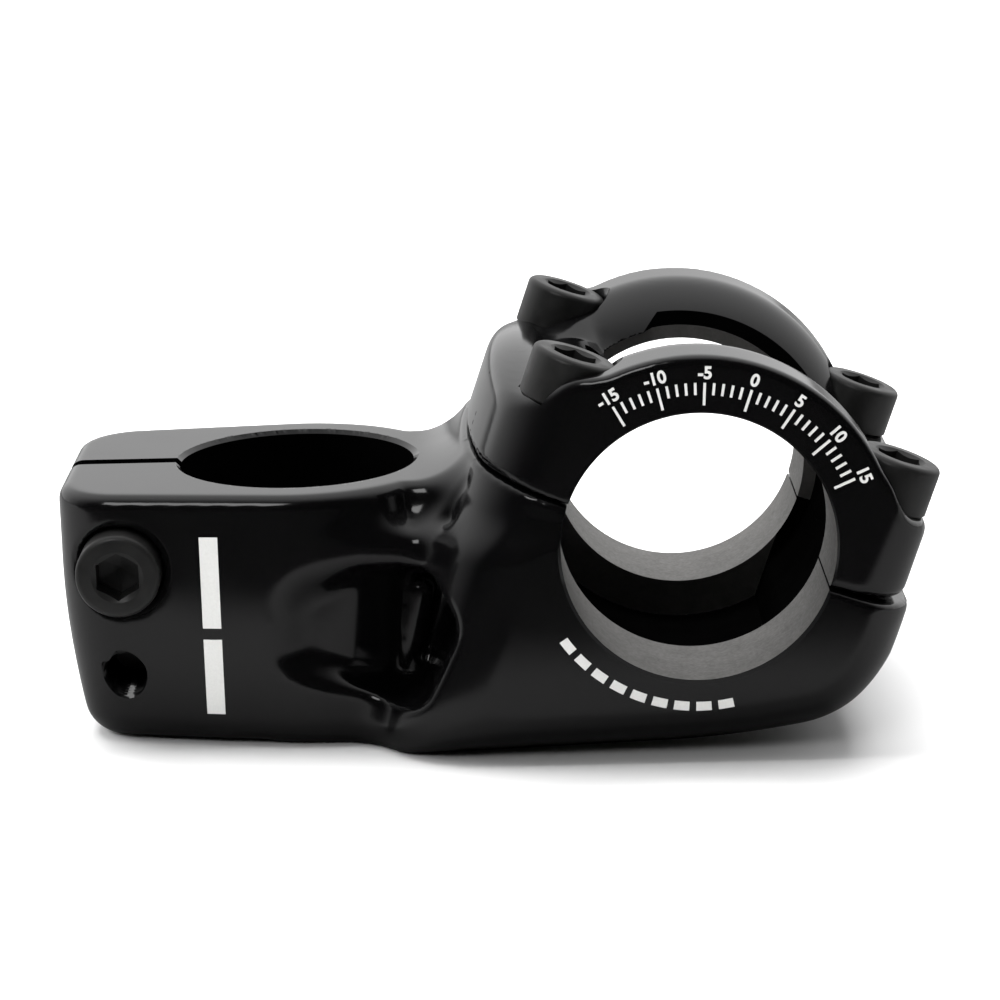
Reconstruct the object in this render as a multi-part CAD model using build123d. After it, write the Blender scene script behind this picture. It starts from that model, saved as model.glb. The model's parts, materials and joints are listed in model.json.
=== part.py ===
from build123d import *
import math
import os

# Top-load handlebar stem, in millimetres.
# Frame: the steerer axis is the Z axis and the flat underside is Z = 0.
# +X points from the steerer clamp to the handlebar clamp, and Y runs along the handlebar.

# ---- driving dimensions ----
STEERER_DIAMETER = 28.6      # 1 1/8 inch steerer tube
BAR_DIAMETER = 31.8          # oversize handlebar
REACH = 47.5                 # steerer axis to handlebar axis, along X
BAR_HEIGHT = 26.0            # handlebar axis above the underside
STACK_HEIGHT = 31.0          # height of the steerer clamp
BAR_CLAMP_WIDTH = 55.0       # overall width of the handlebar clamp
SPLIT_TILT = 19.0            # split plane leans down towards +X by this many degrees

STEERER_RADIUS = STEERER_DIAMETER / 2
BAR_RADIUS = BAR_DIAMETER / 2
HALF_WIDTH = BAR_CLAMP_WIDTH / 2

# ---- steerer clamp and neck ----
CLAMP_RADIUS = 19.5          # outside of the clamp round the steerer
CLAMP_END = 28.0             # blunt back of the clamp, from the steerer axis
CORNER_RADIUS = 8.0
CORNER_Y = 9.5
SLIT_WIDTH = 2.2
NECK_HALF_WIDTH = 17.6
NECK_END_X = 30.0            # inside the saddle
FLARE_FILLET = 3.5           # neck sides to saddle

# ---- side pockets of the neck ----
POCKET_FLOOR_Y = 9.5
POCKET_TUBE_RADIUS = 17.4    # wall left round the steerer bore
POCKET_CORNER = 2.4
POCKET_OUTLINE = ((0.0, 7.5), (0.0, 19.5), (12.0, 22.6), (19.6, 20.5), (15.2, 4.4), (10.0, 4.4))
SCOOP_START = 2.0
SCOOP_LENGTH = 19.0
SCOOP_Y = 20.5
SCOOP_Z = 27.6
SCOOP_RADIUS = 4.2
SCOOP_TIP_RADIUS = 1.0

# ---- handlebar clamp, in the split frame: S along the split, Y along the bar, N away from it ----
REAR_END = 28.6              # steerer-side end, from the bar axis
FRONT_END = 25.6             # outer end, from the bar axis
REAR_CORNER_S = 25.0         # where the rear wall meets the flat side faces
REAR_CORNER_RADIUS = 6.0
FRONT_CORNER_RADIUS = 6.5
BODY_END_X = 72.0            # outer end of the saddle, along X
SADDLE_CORNER_RADIUS = 13.0  # lower outer corner seen from the side
BAND_INNER = 14.0            # half width of the window and of the hollow between the bands
RELIEF_RADIUS = 17.6         # bore between the bands, wider than the handlebar
HOLLOW_RADIUS = 20.5
HOLLOW_HALF_LENGTH = 15.0
CAP_RADIUS = 22.8            # outside of the cap arcs
BRIDGE_TOP = 11.8            # top of the rear bridge above the split
BRIDGE_RADIUS = 4.5
BRIDGE_INNER_S = 22.3
BRIDGE_HALF_WIDTH = 13.0
WINDOW_REAR_S = 16.5         # window between the arcs, narrower between the rear bolts
WINDOW_REAR_Y = 8.7
WINDOW_STEP_S = 11.5
WINDOW_WIDE_S = 8.7
WINDOW_FRONT_S = 13.5
WINDOW_CORNER = 3.0
SEAT_N = 9.95                # bolt seats above the split plane
SPLIT_GAP = 0.3              # gap between cap and body

# ---- bolts ----
THREAD_DIAMETER = 6.0
HEAD_DIAMETER = 10.0
HEAD_HEIGHT = 6.0
SOCKET_WIDTH = 5.0           # hex key size
SOCKET_DEPTH = 3.5
SHANK_LENGTH = 22.0
CAP_BOLT_S = 19.85           # bolt rows from the bar axis, along the split
CAP_BOLT_Y = 20.0            # bolt rows from the middle, along the bar
PINCH_X = -20.3
PINCH_UPPER_Z = 22.0
PINCH_LOWER_Z = 9.0
PINCH_SEAT_Y = 14.3
SHANK_HOLE_RADIUS = 3.05     # in the body, where the thread would be
CAP_HOLE_RADIUS = 3.25       # in the cap
HEAD_CLEARANCE = 0.4         # radial, round the heads
BOLT_END_ROOM = 2.0          # depth of the blind holes past the bolt ends

# ---- edges ----
EDGE_FILLET = 1.5
FORGED_FILLET = 4.0
HEAD_CHAMFER = 0.6
FAR = 100.0                  # longer than the object, for cutting tools
TOLERANCE = 0.01

tilt = math.radians(SPLIT_TILT)
split = Plane(
    origin=(REACH, 0, BAR_HEIGHT),
    x_dir=(math.cos(tilt), 0, -math.sin(tilt)),
    z_dir=(math.sin(tilt), 0, math.cos(tilt)),
)
side = Plane(origin=(0, 0, 0), x_dir=(1, 0, 0), z_dir=(0, -1, 0))   # X right, Z up
split_side = Plane(origin=split.origin, x_dir=split.x_dir, z_dir=(0, -1, 0))   # S right, N up


def upright_cylinder(radius, height):
    """A cylinder standing on its local XY plane."""
    return Cylinder(radius, height, align=(Align.CENTER, Align.CENTER, Align.MIN))


def bar_cylinder(radius, half_width):
    """A cylinder on the handlebar axis."""
    place = Plane(origin=(REACH, 0, BAR_HEIGHT), z_dir=(0, 1, 0))
    return place * Cylinder(radius, 2 * half_width)


def clamp_outline(front_end):
    """Outline of the handlebar clamp seen square to the split plane."""
    with BuildSketch() as outline:
        with BuildLine():
            ThreePointArc((-REAR_CORNER_S, -HALF_WIDTH), (-REAR_END, 0), (-REAR_CORNER_S, HALF_WIDTH))
            Line((-REAR_CORNER_S, HALF_WIDTH), (front_end, HALF_WIDTH))
            Line((front_end, HALF_WIDTH), (front_end, -HALF_WIDTH))
            Line((front_end, -HALF_WIDTH), (-REAR_CORNER_S, -HALF_WIDTH))
        make_face()
        fillet(outline.vertices().sort_by(Axis.X)[:2], REAR_CORNER_RADIUS)
        fillet(outline.vertices().sort_by(Axis.X)[-2:], FRONT_CORNER_RADIUS)
    return outline.sketch


# ---- stem body ----
def steerer_block():
    """Upright clamp round the steerer, with a blunt rounded back for the pinch bolts."""
    corner_x = -CLAMP_END + CORNER_RADIUS
    with BuildPart() as block:
        with BuildSketch():
            with BuildLine():
                front = CenterArc((0, 0), CLAMP_RADIUS, 0, 360)
                near = CenterArc((corner_x, -CORNER_Y), CORNER_RADIUS, 0, 360)
                far = CenterArc((corner_x, CORNER_Y), CORNER_RADIUS, 0, 360)
            make_hull([front, near, far])
        extrude(amount=STACK_HEIGHT)
        fillet(block.faces().sort_by(Axis.Z)[-1].edges(), EDGE_FILLET)
        fillet(block.faces().sort_by(Axis.Z)[0].edges(), FORGED_FILLET)
    return block.part


def saddle_envelope():
    """Side profile of the saddle with rounded flanks, open at the top."""
    with BuildPart() as envelope:
        with BuildSketch(side):
            with BuildLine():
                Polyline((0, 0), (BODY_END_X, 0), (BODY_END_X, FAR), (0, FAR), close=True)
            make_face()
            fillet(vertices().sort_by(Axis.Y)[:2].sort_by(Axis.X)[-1], SADDLE_CORNER_RADIUS)
        extrude(amount=HALF_WIDTH, both=True)
        flanks = envelope.faces().filter_by(Axis.Y).edges()
        rounded = flanks.filter_by(
            lambda edge: edge.center().X > TOLERANCE and edge.center().Z < FAR - TOLERANCE
        )
        fillet(rounded, FRONT_CORNER_RADIUS)
    return envelope.part


def saddle_block():
    """Lower half of the handlebar clamp before the bores and pockets."""
    column = split * extrude(clamp_outline(FAR), -FAR)
    return column & saddle_envelope()


def neck_block():
    """Neck whose sides flare out to the saddle, along the direction of the cap bolts."""
    outline = clamp_outline(0) + Rectangle(FAR, 2 * NECK_HALF_WIDTH, align=(Align.MAX, Align.CENTER))
    inner = outline.vertices().filter_by(
        lambda corner: abs(abs(corner.Y) - NECK_HALF_WIDTH) < TOLERANCE and corner.X > -REAR_END
    )
    outline = fillet(inner, FLARE_FILLET)
    column = split * extrude(outline, -FAR)
    room = Box(NECK_END_X, BAR_CLAMP_WIDTH, STACK_HEIGHT, align=(Align.MIN, Align.CENTER, Align.MIN))
    return column & room & saddle_envelope()


def side_pocket(direction):
    """Pocket in one side of the neck, stopping at the wall round the steerer bore."""
    with BuildPart() as pocket:
        with BuildSketch(side):
            with BuildLine():
                Polyline(POCKET_OUTLINE, close=True)
            make_face()
            fillet(vertices(), POCKET_CORNER)
        extrude(amount=-direction * FAR)
    floor = Location((0, direction * POCKET_FLOOR_Y, 0))
    return floor * pocket.part - upright_cylinder(POCKET_TUBE_RADIUS, STACK_HEIGHT)


def side_scoop(direction):
    """Shallow tapered scoop under the top rim, opening out towards the saddle."""
    place = Plane(origin=(SCOOP_START, direction * SCOOP_Y, SCOOP_Z), z_dir=(1, 0, 0))
    base = (Align.CENTER, Align.CENTER, Align.MIN)
    return place * Cone(SCOOP_TIP_RADIUS, SCOOP_RADIUS, SCOOP_LENGTH, align=base)


def cap_bolt_places():
    """Frames at the four cap bolt seats, with Z along the bolts."""
    return [
        split * Location((side_s * CAP_BOLT_S, side_y * CAP_BOLT_Y, SEAT_N))
        for side_s in (-1, 1)
        for side_y in (-1, 1)
    ]


def pinch_place(height, direction):
    """Frame at a pinch bolt seat, with Z pointing out of the head."""
    seat = (PINCH_X, direction * PINCH_SEAT_Y, height)
    return Location(Plane(origin=seat, x_dir=(1, 0, 0), z_dir=(0, direction, 0)))


def bolt_hole(radius, depth):
    """Tool for a bolt hole under the seat."""
    return Cylinder(radius, depth, align=(Align.CENTER, Align.CENTER, Align.MAX))


def head_recess():
    """Tool for the room round a bolt head, from the seat outwards."""
    return upright_cylinder(HEAD_DIAMETER / 2 + HEAD_CLEARANCE, FAR / 2)


def pinch_hole():
    """Tool for a pinch bolt: a hole right through the clamp and a counterbore."""
    return Cylinder(SHANK_HOLE_RADIUS, FAR) + head_recess()


def stem_body():
    """Body in one piece: steerer clamp, neck and saddle, with all holes."""
    body = steerer_block() + neck_block() + saddle_block()
    above_split = split * Location((0, 0, -SPLIT_GAP / 2)) * Box(
        FAR, FAR, FAR, align=(Align.CENTER, Align.CENTER, Align.MIN)
    )
    body -= above_split
    for direction in (-1, 1):
        body -= side_pocket(direction)
        body -= side_scoop(direction)
    body -= Cylinder(STEERER_RADIUS, FAR)
    body -= Location((-FAR / 2, 0, 0)) * Box(FAR, SLIT_WIDTH, FAR)
    body -= bar_cylinder(BAR_RADIUS, FAR)
    body -= bar_cylinder(RELIEF_RADIUS, BAND_INNER)
    hollow = bar_cylinder(HOLLOW_RADIUS, BAND_INNER)
    body -= hollow & split * Box(2 * HOLLOW_HALF_LENGTH, FAR, FAR)
    for place in cap_bolt_places():
        body -= place * bolt_hole(SHANK_HOLE_RADIUS, SHANK_LENGTH + BOLT_END_ROOM)
    body -= pinch_place(PINCH_UPPER_Z, -1) * pinch_hole()
    body -= pinch_place(PINCH_LOWER_Z, 1) * pinch_hole()
    return body


# ---- top cap ----
def rear_bridge():
    """Crowned bridge between the two rear bolts of the cap."""
    crown = (-REAR_END + BRIDGE_RADIUS, BRIDGE_TOP)
    shoulder = (-REAR_END, BRIDGE_TOP - BRIDGE_RADIUS)
    inner_corners = ((-BRIDGE_INNER_S, BRIDGE_TOP), (-BRIDGE_INNER_S, 0))
    with BuildPart() as bridge:
        with BuildSketch(split_side):
            with BuildLine():
                RadiusArc(shoulder, crown, BRIDGE_RADIUS)
                Polyline(crown, *inner_corners, (-REAR_END, 0), shoulder)
            make_face()
        extrude(amount=BRIDGE_HALF_WIDTH, both=True)
    return bridge.part


def window():
    """Opening between the arcs, seen square to the split plane."""
    edge = (
        (-WINDOW_REAR_S, WINDOW_REAR_Y),
        (-WINDOW_STEP_S, WINDOW_REAR_Y),
        (-WINDOW_WIDE_S, BAND_INNER),
        (WINDOW_FRONT_S, BAND_INNER),
    )
    mirrored = [(s, -y) for s, y in reversed(edge)]
    with BuildSketch() as outline:
        with BuildLine():
            Polyline(*edge, *mirrored, close=True)
        make_face()
        fillet(outline.vertices(), WINDOW_CORNER)
    return extrude(outline.sketch, FAR)


def top_cap():
    """Cap with two arcs over the handlebar, joined by bridges round a window."""
    tower = split * extrude(clamp_outline(FRONT_END), FAR)
    slab = split * Box(FAR, FAR, SEAT_N, align=(Align.CENTER, Align.CENTER, Align.MIN))
    cap = tower & (slab + bar_cylinder(CAP_RADIUS, HALF_WIDTH) + rear_bridge())
    cap -= split * Box(FAR, FAR, SPLIT_GAP)
    cap -= bar_cylinder(BAR_RADIUS, FAR)
    cap -= bar_cylinder(RELIEF_RADIUS, BAND_INNER)
    cap -= split * window()
    for place in cap_bolt_places():
        cap -= place * head_recess()
        cap -= place * bolt_hole(CAP_HOLE_RADIUS, FAR / 2)
    return cap


# ---- bolts ----
def socket_bolt():
    """Socket-head bolt: seat at Z = 0, head up, shank down."""
    with BuildPart() as bolt:
        Cylinder(HEAD_DIAMETER / 2, HEAD_HEIGHT, align=(Align.CENTER, Align.CENTER, Align.MIN))
        chamfer(bolt.edges().sort_by(Axis.Z)[-1], HEAD_CHAMFER)
        Cylinder(THREAD_DIAMETER / 2, SHANK_LENGTH, align=(Align.CENTER, Align.CENTER, Align.MAX))
        chamfer(bolt.edges().sort_by(Axis.Z)[0], HEAD_CHAMFER)
        with BuildSketch(Plane.XY.offset(HEAD_HEIGHT)):
            RegularPolygon(SOCKET_WIDTH / 2, 6, major_radius=False)
        extrude(amount=-SOCKET_DEPTH, mode=Mode.SUBTRACT)
    return bolt.part


def pieces():
    """Every node of the stem by name."""
    bolt = socket_bolt()
    names = ("cap_bolt_rear_near", "cap_bolt_rear_far", "cap_bolt_front_near", "cap_bolt_front_far")
    nodes = {"stem_body": stem_body(), "top_cap": top_cap()}
    for name, place in zip(names, cap_bolt_places()):
        nodes[name] = place * bolt
    nodes["pinch_bolt_upper"] = pinch_place(PINCH_UPPER_Z, -1) * bolt
    nodes["pinch_bolt_lower"] = pinch_place(PINCH_LOWER_Z, 1) * bolt
    return nodes


os.makedirs("parts", exist_ok=True)
for name, solid in pieces().items():
    solid.label = name
    export_step(solid, f"parts/{name}.step")
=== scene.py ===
"""Looks of a top-load handlebar stem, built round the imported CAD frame. Shapes are in millimetres."""

import json
import math

import bmesh
import bpy
import numpy as np
import openvdb
from mathutils import Matrix, Vector


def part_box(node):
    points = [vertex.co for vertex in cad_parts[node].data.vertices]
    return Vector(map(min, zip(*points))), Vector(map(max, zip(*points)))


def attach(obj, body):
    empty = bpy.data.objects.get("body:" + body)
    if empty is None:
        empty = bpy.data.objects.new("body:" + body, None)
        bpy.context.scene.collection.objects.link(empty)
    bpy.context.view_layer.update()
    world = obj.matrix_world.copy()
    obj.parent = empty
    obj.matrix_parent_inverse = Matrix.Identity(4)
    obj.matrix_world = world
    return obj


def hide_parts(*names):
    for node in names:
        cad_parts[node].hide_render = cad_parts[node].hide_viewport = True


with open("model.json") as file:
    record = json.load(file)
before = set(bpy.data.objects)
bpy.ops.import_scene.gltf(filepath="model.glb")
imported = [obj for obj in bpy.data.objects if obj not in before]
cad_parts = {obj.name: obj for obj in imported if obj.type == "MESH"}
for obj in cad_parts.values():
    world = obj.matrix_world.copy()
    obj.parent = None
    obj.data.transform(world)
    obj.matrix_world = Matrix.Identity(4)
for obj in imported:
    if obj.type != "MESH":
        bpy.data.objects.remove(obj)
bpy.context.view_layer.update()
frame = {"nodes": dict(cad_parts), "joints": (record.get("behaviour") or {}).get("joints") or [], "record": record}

# ---- sizes that come from the frame ----
MM = 0.001
mounts = {mount["name"]: mount for mount in frame["record"]["mounts"]}
joints = {joint["name"]: joint for joint in frame["joints"]}
bar_x, band_y, bar_z = (abs(v) / MM for v in mounts["handlebar_clamp_far"]["pos_m"])
BAR_RADIUS = mounts["handlebar_clamp_far"]["dims"]["r_mm"]
BAND_WIDTH = mounts["handlebar_clamp_far"]["dims"]["length_mm"]
HALF_WIDTH = band_y + BAND_WIDTH / 2
BAND_INNER = band_y - BAND_WIDTH / 2
STEERER_RADIUS = mounts["steerer_clamp"]["dims"]["r_mm"]
STACK = mounts["steerer_clamp"]["dims"]["length_mm"]
bolt_axis = Vector(joints["cap_lift"]["axis"]).normalized()
TILT = math.atan2(bolt_axis.x, bolt_axis.z)
BODY_END_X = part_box("stem_body")[1].x / MM
CLAMP_END = -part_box("stem_body")[0].x / MM

# ---- steerer clamp and neck ----
VOXEL = 0.36
SMOOTHING = 8
CLAMP_RADIUS = 19.5
CORNER_RADIUS = 8.0
CORNER_X = -CLAMP_END + CORNER_RADIUS
CORNER_Y = 9.5
BARREL = 0.0057              # how fast the clamp walls pull in below BARREL_TOP
BARREL_TOP = 22.0
RIM_RADIUS = 1.6
FOOT_RADIUS = 3.4
SLIT_WIDTH = 2.2
SLIT_END_X = -8.0            # inside the steerer bore
NECK_HALF_WIDTH = 17.6
NECK_TAPER_X = 8.0           # steererward of this the neck's walls lean in, under the clamp's skin
NECK_TAPER = 0.3
LEDGE_Z = 25.2
WEB_HALF_WIDTH = 14.0
WEB_FOOT_Z = 8.0             # the web under the top plate ends inside the neck
SCOOP_FILLET = 5.0
FLARE_FILLET = 4.0

# ---- handlebar clamp, in the split frame: s along the split, y along the bar, n away from it ----
REAR_END = 28.6
REAR_ARC_RADIUS = 105.0
REAR_CORNER_RADIUS = 12.0
REAR_CORNER_Y = 28.4         # side line of the rear corner arc, cut off by the side face in a soft ridge
RIDGE_RADIUS = 1.6
TAPER_S = 12.0               # steererward of this the side faces lean in
TAPER = 0.06
FRONT_END = 25.6
FRONT_CORNER_RADIUS = 7.5
BELLY_CORNER_RADIUS = 12.0
BELLY_START = (12.0, 0.8)    # X and height where the underside of the arm starts
BELLY_SLOPE = 0.037
BELLY_RISE = 0.0045          # how fast the underside curls up beyond BELLY_FLAT_X
BELLY_FLAT_X = 44.0
FLANK_RADIUS = 9.0
SPLIT_GAP = 0.3
SPLIT_EDGE = 0.6
CAP_FOOT_RADIUS = 1.8        # the split edge of the cap rounds off towards its outer end
CAP_RADIUS = 23.2
CAP_CENTRE_N = -0.7
ARC_CREST_Y = 21.0           # from here each arc rounds down towards the window
ARC_DROP = 3.1
ARC_EDGE = 0.9
EAR_TOP = 9.95
EAR_BLEND = 3.0
EAR_EDGE = 1.6               # outer edge of the front ears
SHOULDERS = ((-16.5, 9.4, 5.7), (15.5, 9.2, 5.3))   # S, N, radius of the arcs' ends beside the bolt heads
RELIEF_RADIUS = 17.6         # between the two bands the bore is wider than the bar
BRIDGE_TOP = 11.8
BRIDGE_RADIUS = 4.8
BRIDGE_INNER_S = 22.3
CROWN_FALL = 0.004           # how fast the bridge's top falls away from its middle
HOLLOW_RADIUS = 20.5
HOLLOW_HALF_LENGTH = 15.0
WINDOW_REAR_S = 16.5         # window between the arcs, narrower between the rear bolts
WINDOW_REAR_Y = 8.7
WINDOW_STEP_S = 11.5
WINDOW_WIDE_S = 8.7
WINDOW_FRONT_S = 13.5

# ---- side pocket of the neck ----
POCKET_FLOOR_Y = 9.5
POCKET_TUBE_RADIUS = 17.4
POCKET_CORES = ((3.6, 12.6), (3.6, 16.4), (8.6, 18.2), (14.4, 18.2), (15.8, 16.0), (12.9, 9.8), (12.0, 9.6))
POCKET_CORNER = 3.6          # rounds the outline off, outside its core points
POCKET_FLOOR_RADIUS = 2.0
POCKET_TUBE_FILLET = 2.6
POCKET_SILL = 0.4            # share of the lip's radius left along the bottom
POCKET_LIPS = (3.2, 1.0)     # the lip is soft towards the steerer and crisp towards the saddle
NOTCH_S = -28.6              # oval notch high on the rear wall of the saddle
NOTCH_Y = 18.0
NOTCH_N = (-7.5, -3.0)
NOTCH_RADIUS = 1.5
RIB_TOP = (14.9, 17.0)
RIB_BOTTOM = (12.8, 7.0)
RIB_Y = 10.6
RIB_RADIUS = 1.9

# ---- bolts ----
HEAD_RADIUS = 5.0
HEAD_HEIGHT = 6.0
HEAD_EDGE = 0.7
SOCKET_WIDTH = 5.0
SOCKET_DEPTH = 3.5
SOCKET_MOUTH = 3.1
THREAD_RADIUS = 3.0
THREAD_DEPTH = 0.55
PITCH = 1.0
HEAD_ROOM = 5.25
PINCH_SEAT_Y = max(abs(v.y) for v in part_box("pinch_bolt_upper")) / MM - HEAD_HEIGHT
THREAD_START = 8.4           # threaded stretch of the pinch holes past the bolt ends, from the middle plane
THREAD_END = 17.6
THREAD_PLAY = 0.15           # the tapped hole is this much wider than the thread
COUNTERSINK_RADIUS = 4.6
COUNTERSINK_MOUTH = 3.2
COUNTERSINK_END = 21.5
RINGS_PER_TURN = 8
BOLT_SEGMENTS = 48
HOLE_SEGMENTS = 72
BORE_SEGMENTS = 240
CAP_HOLE_RADIUS = 3.25
BODY_HOLE_RADIUS = 3.05
PINCH_JOINTS = {"pinch_bolt_upper": "pinch_upper_out", "pinch_bolt_lower": "pinch_lower_out"}
BOLT_NODES = [name for name in frame["nodes"] if "bolt" in name]
FAR = 80.0

# ---- print: a scale on the cap's near face, and plain bars on the body's near side ----
MARK_STEP = 3.2              # degrees round the bar from one mark to the next
MARK_SHIFT = -0.8
MARK_LAST = 15
MARK_MAJOR = 5
MARK_OUTER = 19.5
MAJOR_INNER = 16.9
MINOR_INNER = 18.1
MARK_HALF_WIDTH = 0.15
MARK_DEPTH = 0.15
NUMBER_RADIUS = 20.6
NUMBER_SIZE = 2.0
NUMBER_WEIGHT = 0.06
PRINT_HEIGHT = 0.03
STRIPE_X = -9.6
STRIPE_WIDTH = 2.2
STRIPE_SPANS = ((4.2, 13.6), (15.0, 26.2))
DASHES = 9
DASH_RADIUS = 19.0
DASH_WIDTH = 1.1
DASH_START = -146.0          # degrees round the bar from +X
DASH_TURN = 5.4
DASH_GAP = 2.4


def to_split(x, z):
    """Coordinates along and away from the split plane, for points in the side view."""
    dx, dz = x - bar_x, z - bar_z
    return dx * math.cos(TILT) - dz * math.sin(TILT), dx * math.sin(TILT) + dz * math.cos(TILT)


SPLIT = Matrix.Translation((bar_x, 0, bar_z)) @ Matrix.Rotation(TILT, 4, "Y")   # local X is s, local Z is n
BAR = Matrix.Translation((bar_x, 0, bar_z)) @ Matrix.Rotation(-math.pi / 2, 4, "X")   # local Z is the bar


# ---- distance fields: negative inside, with rounded joins ----
def round_and(a, b, radius):
    """Intersection whose outer edge is rounded."""
    outside = np.hypot(np.maximum(a + radius, 0), np.maximum(b + radius, 0))
    return np.minimum(-radius, np.maximum(a, b)) + outside


def round_or(a, b, radius):
    """Union whose inner corner is filled with a fillet."""
    inside = np.hypot(np.maximum(radius - a, 0), np.maximum(radius - b, 0))
    return np.maximum(radius, np.minimum(a, b)) - inside


def capsule(p, q, start, end, start_radius, end_radius):
    """Plane distance to the hull of two circles, as a capsule whose radius changes evenly."""
    dx, dy = end[0] - start[0], end[1] - start[1]
    length = math.hypot(dx, dy)
    ux, uy = dx / length, dy / length
    slope = (start_radius - end_radius) / length
    along = (p - start[0]) * ux + (q - start[1]) * uy
    across = np.abs((q - start[1]) * ux - (p - start[0]) * uy)
    shifted = np.clip(along - across * slope / math.sqrt(1 - slope * slope), 0, length)
    return np.hypot(along - shifted, across) - (start_radius - slope * shifted)


def polygon(p, q, corners):
    """Signed distance to a closed polygon."""
    best = np.full(np.broadcast(p, q).shape, 1e9, np.float32)
    sign = np.ones(best.shape, bool)
    for (ax, ay), (bx, by) in zip(corners, corners[1:] + corners[:1]):
        ex, ey = bx - ax, by - ay
        wx, wy = p - ax, q - ay
        t = np.clip((wx * ex + wy * ey) / (ex * ex + ey * ey), 0, 1)
        best = np.minimum(best, np.hypot(wx - ex * t, wy - ey * t))
        above_a, above_b = q >= ay, q >= by
        side = ex * wy - ey * wx > 0
        sign ^= (above_a & ~above_b & ~side) | (~above_a & above_b & side)
    return np.where(sign, best, -best)


class Grid:
    """Sample points round a box, shaped so that plane fields stay small."""

    def __init__(self, low, high):
        margin = 3 * VOXEL
        self.low = np.array(low, float) - margin
        counts = np.ceil((np.array(high, float) + margin - self.low) / VOXEL).astype(int) + 1
        axes = [self.low[i] + VOXEL * np.arange(counts[i]) for i in range(3)]
        self.x = axes[0].astype(np.float32)[:, None, None]
        self.y = np.abs(axes[1]).astype(np.float32)[None, :, None]
        self.z = axes[2].astype(np.float32)[None, None, :]
        self.s, self.n = to_split(self.x, self.z)


def clamp_outline(g):
    """Outline of the handlebar clamp seen square to the split plane."""
    rear = np.hypot(g.s - (REAR_ARC_RADIUS - REAR_END), g.y) - REAR_ARC_RADIUS
    rear = round_and(rear, g.y - REAR_CORNER_Y, REAR_CORNER_RADIUS)
    rear = round_and(rear, g.y - HALF_WIDTH + TAPER * np.maximum(-TAPER_S - g.s, 0), RIDGE_RADIUS)
    front = round_and(g.s - FRONT_END, g.y - HALF_WIDTH, FRONT_CORNER_RADIUS)
    return np.maximum(rear, front)


def steerer_clamp(g):
    """Upright clamp: round at the front, blunt at the back, slightly barrelled below."""
    plan = capsule(g.x, g.y, (0, 0), (CORNER_X, CORNER_Y), CLAMP_RADIUS, CORNER_RADIUS)
    back = np.maximum(np.maximum(-CLAMP_END - g.x, g.x), g.y - CORNER_Y)
    barrel = BARREL * np.maximum(BARREL_TOP - g.z, 0) ** 2 * np.clip(-g.x / CLAMP_END, 0.3, 1)
    plan = np.minimum(plan, back) + barrel
    return round_and(round_and(plan, g.z - STACK, RIM_RADIUS), -g.z, FOOT_RADIUS)


def arm(g):
    """Saddle and neck: one outline along the bolts, with a rounded belly."""
    lean = NECK_TAPER * np.maximum(NECK_TAPER_X - g.x, 0)
    strip = np.maximum(g.y - NECK_HALF_WIDTH + lean, g.s + 20)
    outline = round_or(clamp_outline(g), strip, FLARE_FILLET)
    saddle = clamp_outline(g)
    belly_x = g.x - BODY_END_X
    climb = BELLY_SLOPE * np.maximum(g.x - BELLY_START[0], 0)
    climb = climb + BELLY_RISE * np.maximum(g.x - BELLY_FLAT_X, 0) ** 2
    belly_z = BELLY_START[1] + climb - g.z
    profile = round_and(belly_x, belly_z, BELLY_CORNER_RADIUS)
    flank = round_and(profile, g.y - HALF_WIDTH, FLANK_RADIUS)
    lower = round_and(np.maximum(outline, -g.x), g.z - LEDGE_Z, 1.2)
    lower = round_and(lower, -g.z, FOOT_RADIUS)
    lower = np.maximum(lower, flank)
    upper = round_and(saddle, flank, 2.0)
    return lower, np.maximum(upper, g.n - 30)


def stem_field(g):
    clamp = steerer_clamp(g)
    lower, saddle = arm(g)
    web = np.maximum(np.maximum(g.y - WEB_HALF_WIDTH, -g.x), np.maximum(g.s + 15, WEB_FOOT_Z - g.z))
    web = round_and(web, g.z - STACK, RIM_RADIUS)
    top = round_or(np.minimum(clamp, web), saddle, SCOOP_FILLET)
    body = np.maximum(round_or(top, lower, SCOOP_FILLET), np.maximum(g.y - HALF_WIDTH, -g.z))
    body = round_and(body, g.n + SPLIT_GAP / 2, SPLIT_EDGE)
    # pocket in each side of the neck
    outline = polygon(g.x, g.z, POCKET_CORES) - POCKET_CORNER
    tube = POCKET_TUBE_RADIUS - np.hypot(g.x, g.y)
    pocket = round_and(outline, POCKET_FLOOR_Y - g.y, POCKET_FLOOR_RADIUS)
    pocket = round_and(pocket, tube, POCKET_TUBE_FILLET)
    rib = rib_field(g)
    pocket = round_and(pocket, -rib, 0.8)
    lip = np.interp(g.x, (3.0, 15.0), POCKET_LIPS) * np.interp(g.z, (5.0, 11.0), (POCKET_SILL, 1.0))
    body = round_and(body, -pocket, lip.astype(np.float32))
    # oval notch in the rear wall of the saddle
    along = np.clip(g.n, *NOTCH_N) - g.n
    notch = np.hypot(np.hypot(g.s - NOTCH_S, g.y - NOTCH_Y), along) - NOTCH_RADIUS
    body = round_and(body, -notch, 0.5)
    # counterbores of the pinch bolts
    for name, joint_name in PINCH_JOINTS.items():
        side = joints[joint_name]["axis"][1]
        low, high = (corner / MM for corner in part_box(name))
        real_y = g.real_y * side
        seat = max(low.y * side, high.y * side) - HEAD_HEIGHT
        bore = np.hypot(g.x - (low.x + high.x) / 2, g.z - (low.z + high.z) / 2) - HEAD_ROOM
        body = round_and(body, -np.maximum(bore, seat - real_y), 0.8)
    return body


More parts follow.
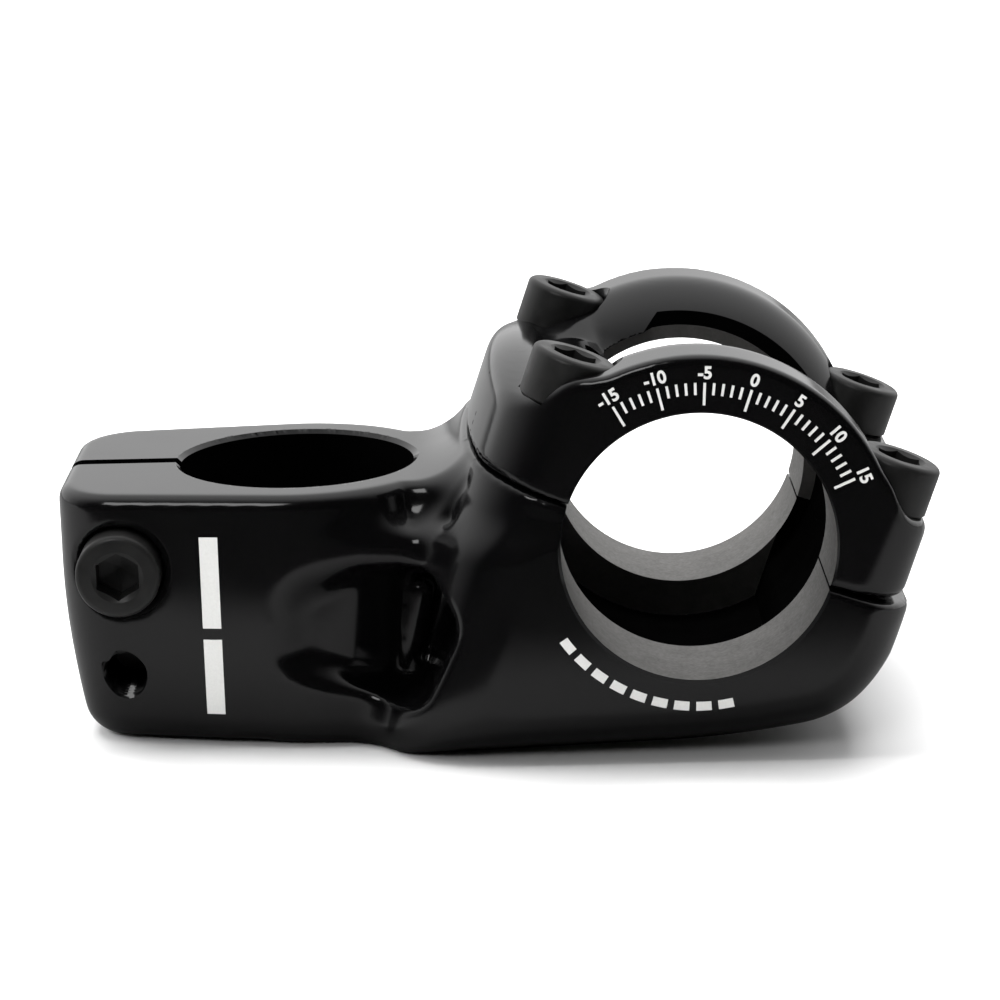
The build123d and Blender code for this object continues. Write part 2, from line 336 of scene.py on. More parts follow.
def rib_field(g):
    """Upright rounded rib deep in the pocket."""
    (ax, az), (bx, bz) = RIB_TOP, RIB_BOTTOM
    ex, ez = bx - ax, bz - az
    t = np.clip(((g.x - ax) * ex + (g.z - az) * ez) / (ex * ex + ez * ez), 0, 1)
    return np.hypot(np.hypot(g.x - ax - ex * t, g.z - az - ez * t), g.y - RIB_Y) - RIB_RADIUS


def cap_field(g):
    sink = ARC_DROP * np.clip((ARC_CREST_Y - g.y) / (ARC_CREST_Y - BAND_INNER), 0, 1.4) ** 2
    round_top = np.hypot(g.s, g.n - CAP_CENTRE_N) - CAP_RADIUS + sink
    rear = np.hypot(g.s - (REAR_ARC_RADIUS - REAR_END), g.y) - REAR_ARC_RADIUS
    crown = round_and(g.n - BRIDGE_TOP + CROWN_FALL * g.y ** 2, g.s + BRIDGE_INNER_S, 1.2)
    ears = round_and(round_or(g.n - EAR_TOP, crown, 1.5), rear, BRIDGE_RADIUS)
    ears = round_and(ears, g.s - FRONT_END, EAR_EDGE)
    top = round_top
    for shoulder_s, shoulder_n, radius in SHOULDERS:
        shoulder = np.hypot(g.s - shoulder_s, g.n - shoulder_n) - radius + 0.6 * sink
        top = round_or(top, shoulder, 1.0)
    top = round_or(top, ears, EAR_BLEND)
    cap = round_and(top, clamp_outline(g), ARC_EDGE)
    edge = np.interp(g.s, (14.0, FRONT_END), (SPLIT_EDGE, CAP_FOOT_RADIUS)).astype(np.float32)
    return round_and(cap, SPLIT_GAP / 2 - g.n, edge)


# ---- meshes ----
def mesh_object(name, points, faces):
    """Object from points in millimetres and faces, with normals facing out."""
    mesh = bpy.data.meshes.new(name)
    mesh.from_pydata([tuple(p) for p in points], [], [tuple(f) for f in faces])
    return link(name, mesh)


def link(name, mesh):
    piece = bpy.data.objects.new(name, mesh)
    bpy.context.scene.collection.objects.link(piece)
    bm = bmesh.new()
    bm.from_mesh(mesh)
    bmesh.ops.recalc_face_normals(bm, faces=bm.faces)
    if bm.calc_volume(signed=True) < 0:
        bmesh.ops.reverse_faces(bm, faces=bm.faces)
    bm.to_mesh(mesh)
    bm.free()
    return piece


def mesh_from_field(name, field, g):
    """Surface of a distance field."""
    volume = openvdb.FloatGrid(background=3 * VOXEL)
    volume.copyFromArray(np.ascontiguousarray(np.clip(field, -3 * VOXEL, 3 * VOXEL), np.float32))
    volume.transform = openvdb.createLinearTransform(voxelSize=VOXEL)
    points, quads = volume.convertToQuads(isovalue=0.0)
    points = points.astype(float) + g.low
    mesh = bpy.data.meshes.new(name)
    mesh.vertices.add(len(points))
    mesh.vertices.foreach_set("co", points.astype(np.float32).ravel())
    mesh.loops.add(quads.size)
    mesh.loops.foreach_set("vertex_index", quads.astype(np.int32).ravel())
    mesh.polygons.add(len(quads))
    mesh.polygons.foreach_set("loop_start", np.arange(len(quads), dtype=np.int32) * 4)
    mesh.update(calc_edges=True)
    piece = link(name, mesh)
    modifier = piece.modifiers.new("smooth", "SMOOTH")
    modifier.iterations = SMOOTHING
    modifier.factor = 0.5
    return apply_modifiers(piece)


def apply_modifiers(piece):
    bpy.context.view_layer.update()
    result = bpy.data.meshes.new_from_object(piece.evaluated_get(bpy.context.evaluated_depsgraph_get()))
    piece.modifiers.clear()
    old = piece.data
    piece.data = result
    bpy.data.meshes.remove(old)
    return piece


def ring_stack(name, rings, matrix, segments):
    """Closed skin through rings; a ring gives radius and height, as numbers or as arrays round the turn."""
    angle = np.arange(segments) * 2 * math.pi / segments
    points, faces = [], []
    for radius, height in rings:
        r = np.broadcast_to(radius, angle.shape)
        h = np.broadcast_to(height, angle.shape)
        points.append(np.stack([r * np.cos(angle), r * np.sin(angle), h], 1))
    count = len(points)
    points = np.concatenate(points)
    for k in range(count - 1):
        for i in range(segments):
            j = (i + 1) % segments
            low, high = k * segments, (k + 1) * segments
            faces.append((low + i, low + j, high + j, high + i))
    faces.append(range(segments))
    faces.append(range((count - 1) * segments, count * segments))
    place = np.array(matrix)
    return mesh_object(name, points @ place[:3, :3].T + place[:3, 3], faces)


def prism(name, outline, low, high, matrix):
    """Solid with a flat outline in local XY, from low to high along local Z."""
    count = len(outline)
    points = [(x, y, h) for h in (low, high) for x, y in outline]
    faces = [(i, (i + 1) % count, count + (i + 1) % count, count + i) for i in range(count)]
    faces += [range(count), range(count, 2 * count)]
    place = np.array(matrix)
    return mesh_object(name, np.array(points) @ place[:3, :3].T + place[:3, 3], faces)


def cut(piece, tool):
    """Takes a tool's shape out of a piece and throws the tool away."""
    modifier = piece.modifiers.new("cut", "BOOLEAN")
    modifier.operation = "DIFFERENCE"
    modifier.solver = "MANIFOLD"
    modifier.object = tool
    apply_modifiers(piece)
    bpy.data.objects.remove(tool)


def bolt_place(node, axis):
    """Frame on a bolt's axis at the top of its head, with Z out of the head, read from the CAD bolt."""
    up = Vector(axis).normalized()
    side = Vector((0, 1, 0)) if abs(up.y) < 0.5 else Vector((0, 0, 1))
    right = side.cross(up).normalized()
    ahead = up.cross(right)
    points = np.array([v.co for v in frame["nodes"][node].data.vertices]) / MM
    local = points @ np.array([right, ahead, up]).T
    low, high = local.min(0), local.max(0)
    centre = right * ((low[0] + high[0]) / 2) + ahead * ((low[1] + high[1]) / 2) + up * high[2]
    place = Matrix((right, ahead, up)).transposed().to_4x4()
    place.translation = centre
    return place, high[2] - low[2] - HEAD_HEIGHT


bolt_axes = {joint["child"]: joint["axis"] for joint in frame["joints"] if joint["child"] in BOLT_NODES}
bolt_places = {node: bolt_place(node, axis) for node, axis in bolt_axes.items()}


def hole_tool(place, depth_from_seat, radius, above):
    """Round hole from below the seat, with a counterbore above it when asked."""
    seat = -HEAD_HEIGHT
    rings = [(radius, seat - depth_from_seat), (radius, seat)]
    if above:
        rings += [(HEAD_ROOM, seat), (HEAD_ROOM, FAR / 2)]
    else:
        rings += [(radius, FAR / 2)]
    return ring_stack("tool", rings, place, HOLE_SEGMENTS)


def groove(height, turn):
    """Depth of a thread at a height, for each share of a turn."""
    ramp = np.abs(2 * ((height / PITCH - turn) % 1.0) - 1)
    return THREAD_DEPTH * np.clip(1.35 * ramp - 0.2, 0, 1)


def exit_tool(place):
    """Hole right through for a pinch bolt: plain as far as the bolt goes, then threaded and countersunk."""
    middle = -HEAD_HEIGHT - PINCH_SEAT_Y
    turn = np.arange(HOLE_SEGMENTS) / HOLE_SEGMENTS
    rings = [(COUNTERSINK_RADIUS, middle - COUNTERSINK_END), (COUNTERSINK_MOUTH, middle - THREAD_END)]
    steps = int(RINGS_PER_TURN * (THREAD_END - THREAD_START) / PITCH)
    for k in range(steps + 1):
        height = middle - THREAD_END + 0.2 + k * PITCH / RINGS_PER_TURN
        rings.append((THREAD_RADIUS + THREAD_PLAY - groove(height, turn), height))
    rings += [(BODY_HOLE_RADIUS, middle - THREAD_START + 0.6), (BODY_HOLE_RADIUS, FAR / 2)]
    return ring_stack("tool", rings, place, HOLE_SEGMENTS)


def bore_tool(radius, half_length, chamfer, matrix):
    """Through bore with a chamfer at both ends."""
    out = half_length + 5
    rings = [
        (radius + chamfer + 5, -out), (radius + chamfer, -half_length), (radius, -half_length + chamfer),
        (radius, half_length - chamfer), (radius + chamfer, half_length), (radius + chamfer + 5, out),
    ]
    return ring_stack("tool", rings, matrix, BORE_SEGMENTS)


def relief_tool():
    """Widens the bore between the two bands."""
    return ring_stack("tool", [(RELIEF_RADIUS, -BAND_INNER), (RELIEF_RADIUS, BAND_INNER)], BAR, BORE_SEGMENTS)


def make_body():
    g = Grid((-CLAMP_END, -HALF_WIDTH, 0), (BODY_END_X, HALF_WIDTH, STACK + 7))
    g.real_y = (g.low[1] + VOXEL * np.arange(g.y.size)).astype(np.float32)[None, :, None]
    body = mesh_from_field("stem_shell", stem_field(g), g)
    cut(body, bore_tool(STEERER_RADIUS, STACK / 2, 0.5, Matrix.Translation((0, 0, STACK / 2))))
    cut(body, bore_tool(BAR_RADIUS, HALF_WIDTH, 0.35, BAR))
    half = SLIT_WIDTH / 2
    slit = [(-FAR, -half), (SLIT_END_X, -half), (SLIT_END_X, half), (-FAR, half)]
    cut(body, prism("tool", slit, -5, STACK + 5, Matrix()))
    cut(body, relief_tool())
    steps = 48
    half_turn = math.asin(HOLLOW_HALF_LENGTH / HOLLOW_RADIUS)
    turns = [-half_turn + 2 * half_turn * k / steps for k in range(steps + 1)]
    arc = [(HOLLOW_RADIUS * math.sin(t), -HOLLOW_RADIUS * math.cos(t)) for t in turns]
    outline = [(-HOLLOW_HALF_LENGTH, 10)] + arc + [(HOLLOW_HALF_LENGTH, 10)]
    side_view = SPLIT @ Matrix.Rotation(math.pi / 2, 4, "X")
    cut(body, prism("tool", outline, -BAND_INNER, BAND_INNER, side_view))
    for node, (place, shank) in bolt_places.items():
        if node.startswith("cap"):
            cut(body, hole_tool(place, shank + 2, BODY_HOLE_RADIUS, False))
        else:
            cut(body, exit_tool(place))
    return body


def make_cap():
    top = BAR_RADIUS + 8
    low = (bar_x - REAR_END - 4, -HALF_WIDTH, bar_z - 12)
    g = Grid(low, (bar_x + FRONT_END + 8, HALF_WIDTH, bar_z + top))
    cap = mesh_from_field("cap_shell", cap_field(g), g)
    cut(cap, bore_tool(BAR_RADIUS, HALF_WIDTH, 0.35, BAR))
    cut(cap, relief_tool())
    edge = [(-WINDOW_REAR_S, WINDOW_REAR_Y), (-WINDOW_STEP_S, WINDOW_REAR_Y), (-WINDOW_WIDE_S, BAND_INNER),
            (WINDOW_FRONT_S, BAND_INNER)]
    window = edge + [(s, -y) for s, y in reversed(edge)]
    cut(cap, prism("tool", window[::-1], -5, FAR, SPLIT))
    for node, (place, shank) in bolt_places.items():
        if node.startswith("cap"):
            cut(cap, hole_tool(place, shank + 10, CAP_HOLE_RADIUS, True))
    return cap


def make_bolt(node):
    """Socket-head bolt with a rolled thread, from its tip to the floor of its socket."""
    place, shank = bolt_places[node]
    turn = np.arange(BOLT_SEGMENTS) / BOLT_SEGMENTS
    tip = -HEAD_HEIGHT - shank
    rings = []
    steps = int(RINGS_PER_TURN * (shank - 0.6) / PITCH)
    for k in range(steps + 1):
        height = tip + k * PITCH / RINGS_PER_TURN
        lead_in = THREAD_RADIUS - 0.8 + (height - tip) * 0.9
        rings.append((np.minimum(THREAD_RADIUS - groove(height, turn), lead_in), height))
    hexagon = SOCKET_WIDTH / 2 / np.cos((turn * 2 * math.pi + math.pi / 6) % (math.pi / 3) - math.pi / 6)
    rings += [(THREAD_RADIUS - THREAD_DEPTH, -HEAD_HEIGHT), (HEAD_RADIUS - 0.25, -HEAD_HEIGHT),
              (HEAD_RADIUS, -HEAD_HEIGHT + 0.25)]
    for k in range(6):
        around = math.pi / 2 * k / 5
        rings.append((HEAD_RADIUS - HEAD_EDGE * (1 - math.cos(around)), -HEAD_EDGE * (1 - math.sin(around))))
    rings += [(SOCKET_MOUTH, 0.0), (hexagon, -(SOCKET_MOUTH - hexagon) * 0.7), (hexagon, -SOCKET_DEPTH),
              (hexagon * 0.92, -SOCKET_DEPTH), (0.2, -SOCKET_DEPTH - 1.1)]
    return ring_stack(node + "_mesh", rings, place, BOLT_SEGMENTS)


# ---- materials ----
def material(name):
    made = bpy.data.materials.new(name)
    made.use_nodes = True
    nodes = made.node_tree.nodes
    return made, nodes, made.node_tree.links, nodes["Principled BSDF"]


def coordinates(nodes, links, scale):
    where = nodes.new("ShaderNodeTexCoord")
    mapping = nodes.new("ShaderNodeMapping")
    mapping.inputs["Scale"].default_value = scale
    links.new(where.outputs["Object"], mapping.inputs["Vector"])
    return mapping.outputs["Vector"]


def noise(nodes, links, vector, scale, detail=4.0, rough=0.5):
    made = nodes.new("ShaderNodeTexNoise")
    made.inputs["Scale"].default_value = scale
    made.inputs["Detail"].default_value = detail
    made.inputs["Roughness"].default_value = rough
    links.new(vector, made.inputs["Vector"])
    return made.outputs["Fac"]


def spread(nodes, links, value, low, high, from_low=0.3, from_high=0.7):
    made = nodes.new("ShaderNodeMapRange")
    made.inputs["From Min"].default_value = from_low
    made.inputs["From Max"].default_value = from_high
    made.inputs["To Min"].default_value = low
    made.inputs["To Max"].default_value = high
    links.new(value, made.inputs["Value"])
    return made.outputs["Result"]


def colour_mix(nodes, links, value, low, high):
    made = nodes.new("ShaderNodeMix")
    made.data_type = "RGBA"
    made.inputs["A"].default_value = (*low, 1)
    made.inputs["B"].default_value = (*high, 1)
    links.new(value, made.inputs["Factor"])
    return made.outputs["Result"]


def bump(nodes, links, height, strength, distance, normal=None):
    made = nodes.new("ShaderNodeBump")
    made.inputs["Strength"].default_value = strength
    made.inputs["Distance"].default_value = distance
    links.new(height, made.inputs["Height"])
    if normal is not None:
        links.new(normal, made.inputs["Normal"])
    return made.outputs["Normal"]


def gloss_black():
    made, nodes, links, shader = material("gloss_black")
    even = coordinates(nodes, links, (1000, 1000, 1000))
    streaks = coordinates(nodes, links, (260, 2600, 2600))
    cloud = noise(nodes, links, even, 0.12)
    fine = noise(nodes, links, even, 3.0)
    scratch = noise(nodes, links, streaks, 1.4, 6.0, 0.7)
    colour = colour_mix(nodes, links, cloud, (0.0012, 0.0012, 0.0014), (0.0028, 0.0027, 0.0029))
    links.new(colour, shader.inputs["Base Color"])
    links.new(spread(nodes, links, cloud, 0.10, 0.17), shader.inputs["Roughness"])
    rough = bump(nodes, links, fine, 0.03, 0.00002)
    links.new(bump(nodes, links, scratch, 0.02, 0.00002, rough), shader.inputs["Normal"])
    shader.inputs["IOR"].default_value = 1.55
    return made


# Matt black of the machined cuts, also painted shade: its reflection is switched off, so the hollow, relief,
# window walls and steerer bore stay dark as if in shade.
def machined_black():
    made, nodes, links, shader = material("machined_black")
    even = coordinates(nodes, links, (1000, 1000, 1000))
    cloud = noise(nodes, links, even, 0.3)
    fine = noise(nodes, links, even, 4.0)
    colour = colour_mix(nodes, links, cloud, (0.0006, 0.0006, 0.0006), (0.002, 0.002, 0.002))
    links.new(colour, shader.inputs["Base Color"])
    # painted shade: no reflection at all, so these faces stay black even at grazing angles
    shader.inputs["Specular IOR Level"].default_value = 0.0
    links.new(spread(nodes, links, fine, 0.55, 0.75), shader.inputs["Roughness"])
    links.new(bump(nodes, links, fine, 0.15, 0.00005), shader.inputs["Normal"])
    return made


def bare_metal():
    made, nodes, links, shader = material("bare_metal")
    even = coordinates(nodes, links, (1000, 1000, 1000))
    lines = coordinates(nodes, links, (400, 5000, 400))
    cloud = noise(nodes, links, even, 0.35, 6.0, 0.65)
    grain = noise(nodes, links, even, 2.5)
    turning = noise(nodes, links, lines, 1.0, 2.0)
    colour = colour_mix(nodes, links, cloud, (0.13, 0.127, 0.122), (0.27, 0.264, 0.255))
    links.new(colour, shader.inputs["Base Color"])
    shader.inputs["Metallic"].default_value = 0.85
    links.new(spread(nodes, links, grain, 0.42, 0.62), shader.inputs["Roughness"])
    rough = bump(nodes, links, grain, 0.2, 0.00005)
    links.new(bump(nodes, links, turning, 0.15, 0.00004, rough), shader.inputs["Normal"])
    return made


def black_oxide():
    made, nodes, links, shader = material("black_oxide")
    even = coordinates(nodes, links, (1000, 1000, 1000))
    cloud = noise(nodes, links, even, 0.5)
    fine = noise(nodes, links, even, 5.0)
    colour = colour_mix(nodes, links, cloud, (0.014, 0.014, 0.014), (0.026, 0.0255, 0.025))
    links.new(colour, shader.inputs["Base Color"])
    shader.inputs["Metallic"].default_value = 0.4
    links.new(spread(nodes, links, cloud, 0.32, 0.46), shader.inputs["Roughness"])
    links.new(bump(nodes, links, fine, 0.25, 0.00004), shader.inputs["Normal"])
    return made


def white_print():
    made, nodes, links, shader = material("white_print")
    even = coordinates(nodes, links, (1000, 1000, 1000))
    fine = noise(nodes, links, even, 4.0)
    colour = colour_mix(nodes, links, fine, (0.72, 0.72, 0.70), (0.84, 0.84, 0.82))
    links.new(colour, shader.inputs["Base Color"])
    shader.inputs["Roughness"].default_value = 0.5
    return made


FINISHES = {
    "gloss": gloss_black(), "machined_and_painted_shade": machined_black(), "bare": bare_metal(),
    "oxide": black_oxide(), "print": white_print(),
}


def finish_piece(piece, body, node, slot, *finishes):
    """Turns the millimetre mesh into metres, shades it and hangs it on its body."""
    piece.data.transform(Matrix.Scale(MM, 4))
    painted = np.empty(len(piece.data.polygons), np.int32)
    piece.data.polygons.foreach_get("material_index", painted)
    piece.data.materials.clear()                     # this also resets the painted numbers
    for name in finishes:
        piece.data.materials.append(FINISHES[name])
    piece.data.polygons.foreach_set("material_index", np.minimum(painted, len(finishes) - 1))
    piece.data.shade_smooth()
    piece.data.set_sharp_from_angle(angle=math.radians(32))
    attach(piece, body)
    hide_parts(node)


def face_values(piece, what):
    """Middles or normals of a piece's faces, one row each."""
    values = np.empty(len(piece.data.polygons) * 3, np.float32)
    piece.data.polygons.foreach_get(what, values)
    return values.reshape(-1, 3).astype(float)


def paint(piece, bands):
    """Gives faces a material number where a test on their middles, and how far they face up, holds."""
    c = face_values(piece, "center")
    s, n = to_split(c[:, 0], c[:, 2])
    up = face_values(piece, "normal") @ np.array([math.sin(TILT), 0, math.cos(TILT)])
    index = np.zeros(len(c), np.int32)
    for number, test in bands:
        index[test(c[:, 0], c[:, 1], c[:, 2], s, n, up)] = number
    piece.data.polygons.foreach_set("material_index", index)


def on_bar(x, y, z, s, n, up):
    return (np.hypot(s, n) < BAR_RADIUS + 0.02) & (np.abs(y) > BAND_INNER - 0.02)


def in_window(x, y, z, s, n, up):
    reach = np.abs(np.abs(y) - BAND_INNER) < 0.06
    ends = (np.abs(s + WINDOW_REAR_S) < 0.06) | (np.abs(s - WINDOW_FRONT_S) < 0.06)
    ends &= np.abs(y) < BAND_INNER
    step = (np.abs(np.abs(y) - WINDOW_REAR_Y) < 0.06) & (s < 0)
    slope = (BAND_INNER - WINDOW_REAR_Y) / (WINDOW_STEP_S - WINDOW_WIDE_S)
    slant = np.abs(np.abs(y) - WINDOW_REAR_Y - slope * (s + WINDOW_STEP_S)) < 0.12
    slant &= (s > -WINDOW_STEP_S - 0.1) & (s < -WINDOW_WIDE_S + 0.1)
    r = np.hypot(s, n)
    relief = (r > BAR_RADIUS + 0.02) & (r < RELIEF_RADIUS + 0.06) & (np.abs(y) < BAND_INNER + 0.05)
    walls = (reach & (np.abs(s) < WINDOW_FRONT_S)) | ends | step | slant
    return (walls & (np.abs(up) < 0.2)) | relief


def in_hollow(x, y, z, s, n, up):
    r = np.hypot(s, n)
    relief = (r < RELIEF_RADIUS + 0.1) | (np.abs(s) < HOLLOW_HALF_LENGTH + 0.05)
    return (r > BAR_RADIUS - 0.1) & (r < HOLLOW_RADIUS + 0.1) & (np.abs(y) < BAND_INNER + 0.05) & relief


def in_steerer(x, y, z, s, n, up):
    return np.hypot(x, y) < STEERER_RADIUS + 0.1


body = make_body()
# the hollow, relief and steerer bore get the machined black, whose switched-off reflection paints shade into them
paint(body, [(1, in_hollow), (1, in_steerer), (2, on_bar)])
finish_piece(body, "stem_body", "stem_body", "body", "gloss", "machined_and_painted_shade", "bare")
cap = make_cap()
paint(cap, [(1, in_window), (2, on_bar)])
finish_piece(cap, "top_cap", "top_cap", "cap", "gloss", "machined_and_painted_shade", "bare")
for node in BOLT_NODES:
    bolt = make_bolt(node)
    finish_piece(bolt, node, node, "bolts", "oxide")


# ---- graduation printed on the near face of the cap ----
def mark_turn(unit):
    """Angle of a graduation mark round the bar."""
    return math.radians(MARK_STEP * unit + MARK_SHIFT)


def print_marks():
    face = -HALF_WIDTH - 0.02
    points, faces = [], []
    for unit in range(-MARK_LAST, MARK_LAST + 1):
        turn = mark_turn(unit)
        inner = MAJOR_INNER if unit % MARK_MAJOR == 0 else MINOR_INNER
        for radius in (inner, MARK_OUTER):
            for across in (-MARK_HALF_WIDTH, MARK_HALF_WIDTH):
                for depth in (0.0, MARK_DEPTH):
                    s = radius * math.sin(turn) + across * math.cos(turn)
                    n = radius * math.cos(turn) - across * math.sin(turn)
                    points.append(SPLIT @ Vector((s, face + depth, n)))
        b = len(points) - 8
        faces += [(b, b + 2, b + 6, b + 4), (b + 1, b + 5, b + 7, b + 3), (b, b + 1, b + 3, b + 2),
                  (b + 4, b + 6, b + 7, b + 5), (b, b + 4, b + 5, b + 1), (b + 2, b + 3, b + 7, b + 6)]
    marks = mesh_object("graduation_ticks", points, faces)
    marks.data.transform(Matrix.Scale(MM, 4))
    marks.data.materials.append(FINISHES["print"])
    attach(marks, "top_cap")
    for unit in range(-MARK_LAST, MARK_LAST + 1, MARK_MAJOR):
        turn = mark_turn(unit)
        text = bpy.data.curves.new("number", "FONT")
        text.body = str(unit)
        text.size = NUMBER_SIZE
        text.align_x = "CENTER"
        text.align_y = "CENTER"
        text.extrude = NUMBER_WEIGHT
        text.offset = NUMBER_WEIGHT
        maker = bpy.data.objects.new("number", text)
        bpy.context.scene.collection.objects.link(maker)
        bpy.context.view_layer.update()
        mesh = bpy.data.meshes.new_from_object(maker.evaluated_get(bpy.context.evaluated_depsgraph_get()))
        bpy.data.objects.remove(maker)
        across, up = NUMBER_RADIUS * math.sin(turn), NUMBER_RADIUS * math.cos(turn)
        spot = Matrix.Translation((across, face + 0.05, up))
        upright = Matrix.Rotation(turn, 4, "Y") @ Matrix.Rotation(math.pi / 2, 4, "X")
        mesh.transform(SPLIT @ spot @ upright)
        mesh.transform(Matrix.Scale(MM, 4))
        label = bpy.data.objects.new("graduation_" + ("minus_" if unit < 0 else "") + str(abs(unit)), mesh)
        bpy.context.scene.collection.objects.link(label)
        label.data.materials.clear()
        label.data.materials.append(FINISHES["print"])
        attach(label, "top_cap")


print_marks()


def laid_on(piece, name, spots):
    """Thin printed patch: a grid of (x, z) spots seen from the near side, laid on a piece's surface."""
    rows, columns = len(spots), len(spots[0])
    points = []
    for row in spots:
        for x, z in row:
            _, place, normal, _ = piece.ray_cast(Vector((x, -2 * HALF_WIDTH, z)) * MM, Vector((0, 1, 0)))
            points.append((place / MM + normal * PRINT_HEIGHT, place / MM - normal * PRINT_HEIGHT))
    top = [pair[0] for pair in points]
    under = [pair[1] for pair in points]
    count = len(top)
    faces = []
    for i in range(rows - 1):
        for j in range(columns - 1):
            a = i * columns + j
            quad = (a, a + 1, a + columns + 1, a + columns)
            faces += [quad, tuple(count + k for k in reversed(quad))]
    rim = [j for j in range(columns)] + [i * columns + columns - 1 for i in range(1, rows)]
    rim += [(rows - 1) * columns + j for j in range(columns - 2, -1, -1)]
    rim += [i * columns for i in range(rows - 2, 0, -1)]
    for a, b in zip(rim, rim[1:] + rim[:1]):
        faces.append((a, count + a, count + b, b))
    patch = mesh_object(name, top + under, faces)
    patch.data.transform(Matrix.Scale(MM, 4))
    patch.data.materials.append(FINISHES["print"])
    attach(patch, "stem_body")


def print_bars():
    """Plain bars on the near side: a broken upright stripe on the clamp and a dashed arc under the bar."""
    for number, (low, high) in enumerate(STRIPE_SPANS):
        rows = np.linspace(low, high, 16)
        columns = np.linspace(STRIPE_X - STRIPE_WIDTH / 2, STRIPE_X + STRIPE_WIDTH / 2, 5)
        laid_on(body, f"stripe_{number + 1}", [[(x, z) for x in columns] for z in rows])
    for number in range(DASHES):
        start = DASH_START + number * (DASH_TURN + DASH_GAP)
        turns = np.radians(np.linspace(start, start + DASH_TURN, 6))
        radii = np.linspace(DASH_RADIUS - DASH_WIDTH / 2, DASH_RADIUS + DASH_WIDTH / 2, 4)
        spots = [[(bar_x + r * math.cos(t), bar_z + r * math.sin(t)) for r in radii] for t in turns]
        laid_on(body, f"dash_{number + 1}", spots)


print_bars()


# ---- floor, light and camera, in metres and degrees ----
FLOOR_SIZE = 3.0
MIRRORED_FADE = (-0.085, -0.058)     # Y where the mirrored floor goes from dark to pale
LENS = 117.13
CAMERA_TURN = -0.09
CAMERA_RISE = 14.84
CAMERA_ROLL = -1.30
CAMERA_REACH = 0.4
CAMERA_TARGET = Vector((24.74, 0, STACK - 5.97)) * MM


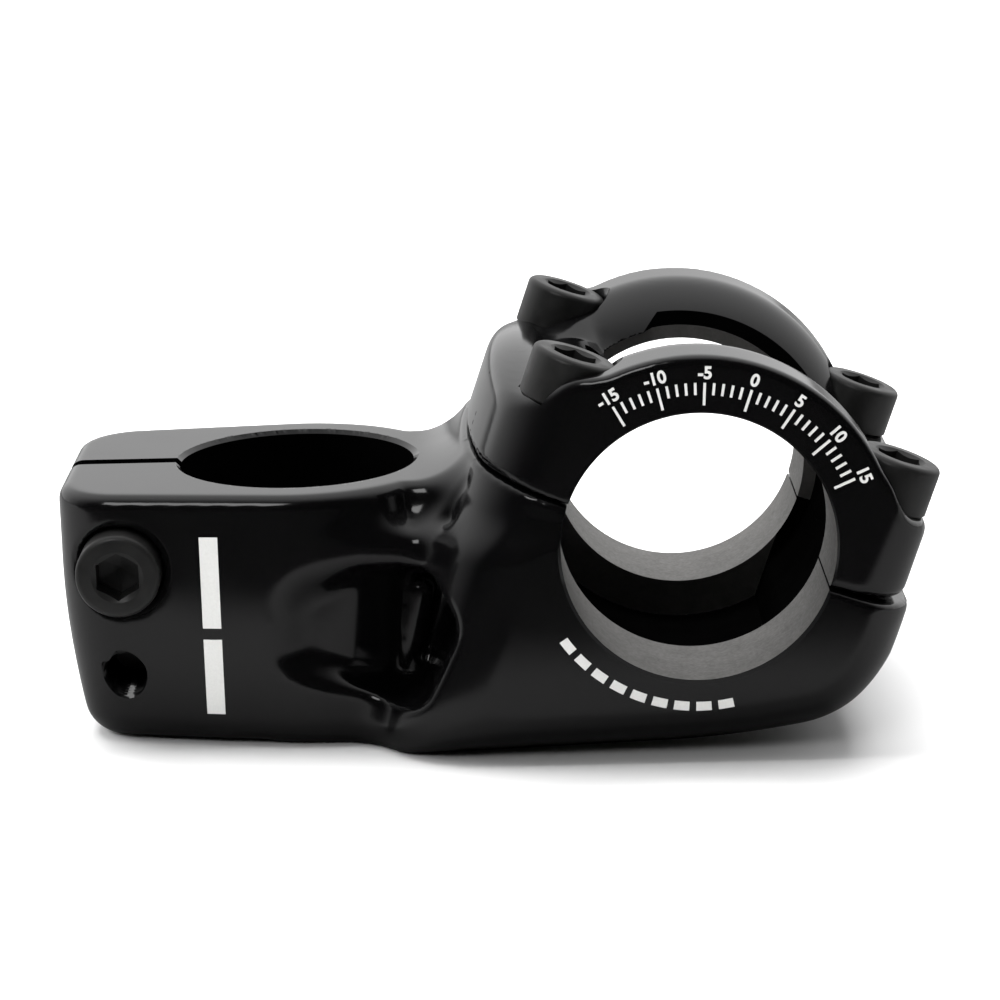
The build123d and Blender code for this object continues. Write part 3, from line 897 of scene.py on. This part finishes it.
def stage():
    corners = [(-FLOOR_SIZE, -FLOOR_SIZE, 0), (FLOOR_SIZE, -FLOOR_SIZE, 0)]
    corners += [(FLOOR_SIZE, FLOOR_SIZE, 0), (-FLOOR_SIZE, FLOOR_SIZE, 0)]
    floor = mesh_object("floor", corners, [(0, 1, 2, 3)])
    made, nodes, links, shader = material("pale_floor")
    shader.inputs["Roughness"].default_value = 0.8
    shader.inputs["Specular IOR Level"].default_value = 0.1
    shader.inputs["Base Color"].default_value = (0.9, 0.9, 0.9, 1)
    # painted reflection: only glossy rays see this floor, near black towards the camera and grey beyond; camera
    # and diffuse rays see it evenly pale
    path = nodes.new("ShaderNodeLightPath")
    place = nodes.new("ShaderNodeNewGeometry")
    split = nodes.new("ShaderNodeSeparateXYZ")
    links.new(place.outputs["Position"], split.inputs["Vector"])
    fade = nodes.new("ShaderNodeMapRange")
    fade.interpolation_type = "SMOOTHSTEP"
    fade.inputs["From Min"].default_value = MIRRORED_FADE[0]
    fade.inputs["From Max"].default_value = MIRRORED_FADE[1]
    links.new(split.outputs["Y"], fade.inputs["Value"])
    mirrored = colour_mix(nodes, links, fade.outputs["Result"], (0.015, 0.015, 0.015), (0.2, 0.2, 0.2))
    mixed = nodes.new("ShaderNodeMix")
    mixed.data_type = "RGBA"
    mixed.inputs["A"].default_value = (0.9, 0.9, 0.9, 1)
    links.new(path.outputs["Is Glossy Ray"], mixed.inputs["Factor"])
    links.new(mirrored, mixed.inputs["B"])
    links.new(mixed.outputs["Result"], shader.inputs["Base Color"])
    floor.data.materials.append(made)
    world = bpy.data.worlds.new("studio")
    bpy.context.scene.world = world
    world.use_nodes = True
    nodes, links = world.node_tree.nodes, world.node_tree.links
    where = nodes.new("ShaderNodeTexCoord")
    split = nodes.new("ShaderNodeSeparateXYZ")
    links.new(where.outputs["Generated"], split.inputs["Vector"])
    ramp = nodes.new("ShaderNodeMapRange")
    ramp.inputs["From Min"].default_value = -0.35
    ramp.inputs["From Max"].default_value = 0.75
    ramp.inputs["To Min"].default_value = 0.012
    ramp.inputs["To Max"].default_value = 1.0
    ramp.interpolation_type = "SMOOTHSTEP"
    tall = nodes.new("ShaderNodeMath")
    tall.operation = "MULTIPLY_ADD"
    tall.inputs[1].default_value = 0.45
    links.new(split.outputs["Z"], tall.inputs[0])
    links.new(split.outputs["Y"], tall.inputs[2])
    links.new(tall.outputs["Value"], ramp.inputs["Value"])
    background = nodes["Background"]
    background.inputs["Color"].default_value = (1, 1, 1, 1)
    links.new(ramp.outputs["Result"], background.inputs["Strength"])


def area_light(name, place, target, width, height, power):
    data = bpy.data.lights.new(name, "AREA")
    data.shape = "RECTANGLE"
    data.size = width
    data.size_y = height
    data.energy = power
    lamp = bpy.data.objects.new(name, data)
    bpy.context.scene.collection.objects.link(lamp)
    lamp.location = place
    lamp.visible_glossy = False
    lamp.rotation_euler = (Vector(target) - Vector(place)).to_track_quat("-Z", "Y").to_euler()
    return lamp


def camera():
    data = bpy.data.cameras.new("camera")
    data.sensor_width = 36
    data.lens = LENS
    lens = bpy.data.objects.new("camera", data)
    bpy.context.scene.collection.objects.link(lens)
    turn, rise, roll = (math.radians(angle) for angle in (CAMERA_TURN, CAMERA_RISE, CAMERA_ROLL))
    ahead = Vector((math.sin(turn) * math.cos(rise), math.cos(turn) * math.cos(rise), -math.sin(rise)))
    right = ahead.cross(Vector((0, 0, 1))).normalized()
    up = right.cross(ahead)
    right, up = math.cos(roll) * right + math.sin(roll) * up, -math.sin(roll) * right + math.cos(roll) * up
    place = Matrix((right, up, -ahead)).transposed().to_4x4()
    place.translation = CAMERA_TARGET - ahead * CAMERA_REACH
    lens.matrix_world = place
    bpy.context.scene.camera = lens


stage()
area_light("overhead", (0.0, 0.25, 0.75), (0.02, 0, 0.0), 0.9, 0.7, 14)
area_light("left", (-0.7, 0.1, 0.35), (0.02, 0, 0.02), 0.4, 0.6, 4)
front_box = area_light("front_box", (-0.28, -0.62, 0.62), (0.02, 0, 0.02), 0.4, 0.3, 1.5)
front_box.visible_glossy = True
camera()
bpy.context.scene.view_settings.view_transform = "Standard"
